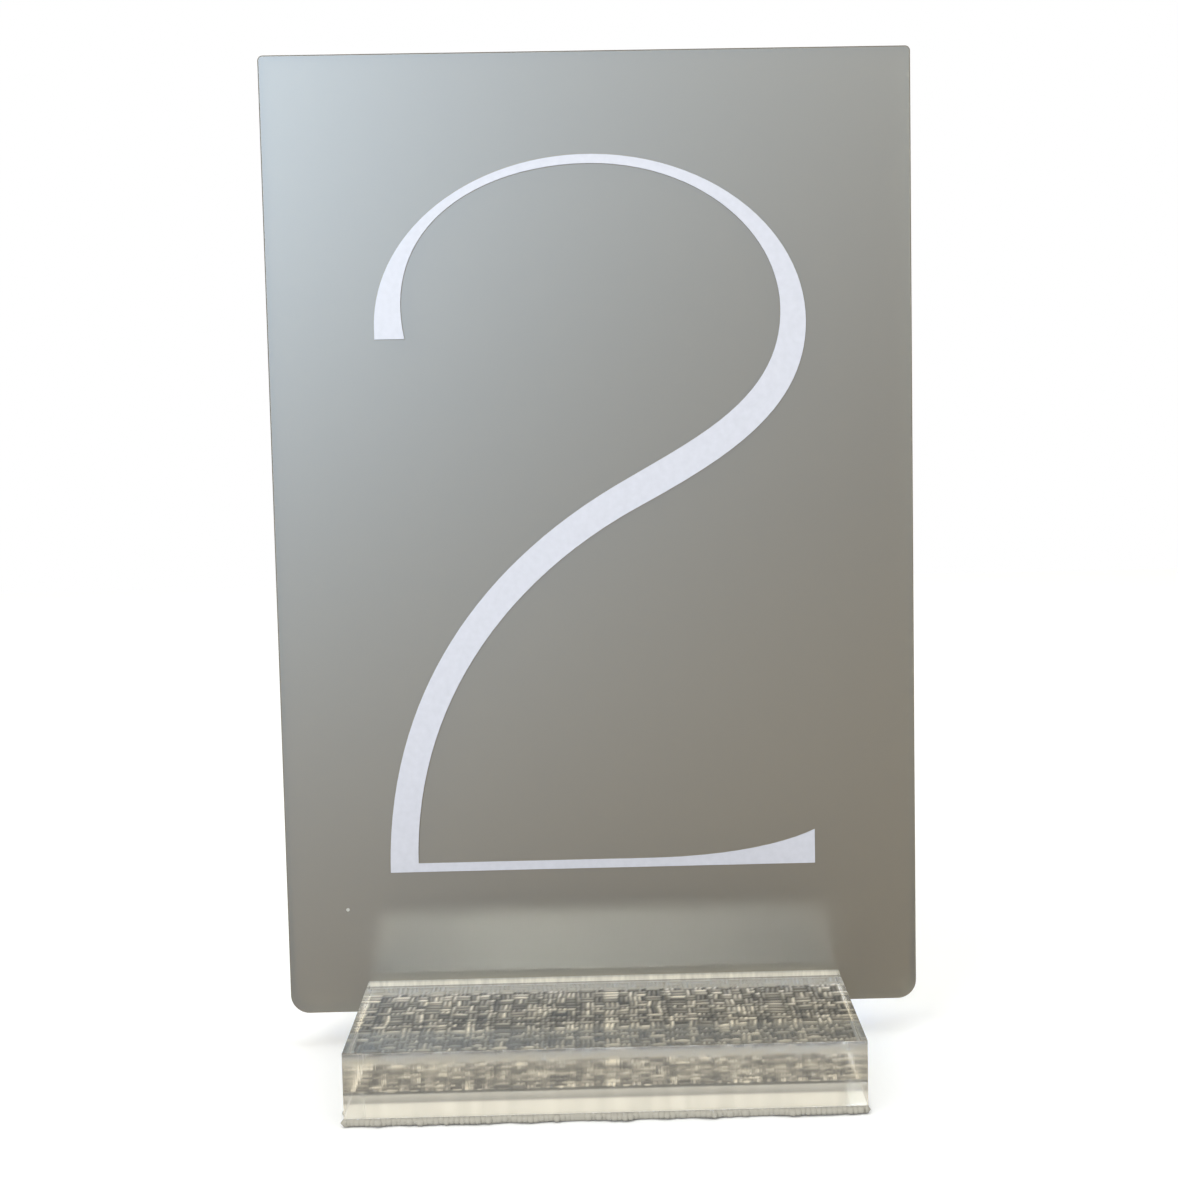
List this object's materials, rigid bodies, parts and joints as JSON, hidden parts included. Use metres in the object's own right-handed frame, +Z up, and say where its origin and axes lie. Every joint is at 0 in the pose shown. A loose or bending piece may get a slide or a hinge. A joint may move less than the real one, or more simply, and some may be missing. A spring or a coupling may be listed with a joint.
{
  "type": "table number holder",
  "caption": "Frosted upright number panel standing in the slot of a square clear base with a woven pad beneath it.",
  "frame": {"origin": "on the resting surface, under the middle of the square base", "axes": "+Z up, the numeral faces -Y, +X to the reader's right, the slot runs along X"},
  "size_m": [0.1016, 0.0762, 0.1583],
  "materials": {
    "woven_cloth": "coarse basket weave of light and dark grey yarns",
    "clear_acrylic": "clear polished faces, finely striped cut edges",
    "frosted_acrylic": "fine frosted satin, translucent grey",
    "white_film": "satin white film"
  },
  "bodies": {
    "base": {"woven_pad": "woven_cloth", "base_block": "clear_acrylic"},
    "sign": {"sign_panel": "frosted_acrylic", "numeral": "white_film"}
  },
  "joints": [
    {"name": "panel_lift", "type": "slide", "parent": "base", "child": "sign", "axis": [0, 0, 1], "range_m": [0, 0.03]}
  ]
}
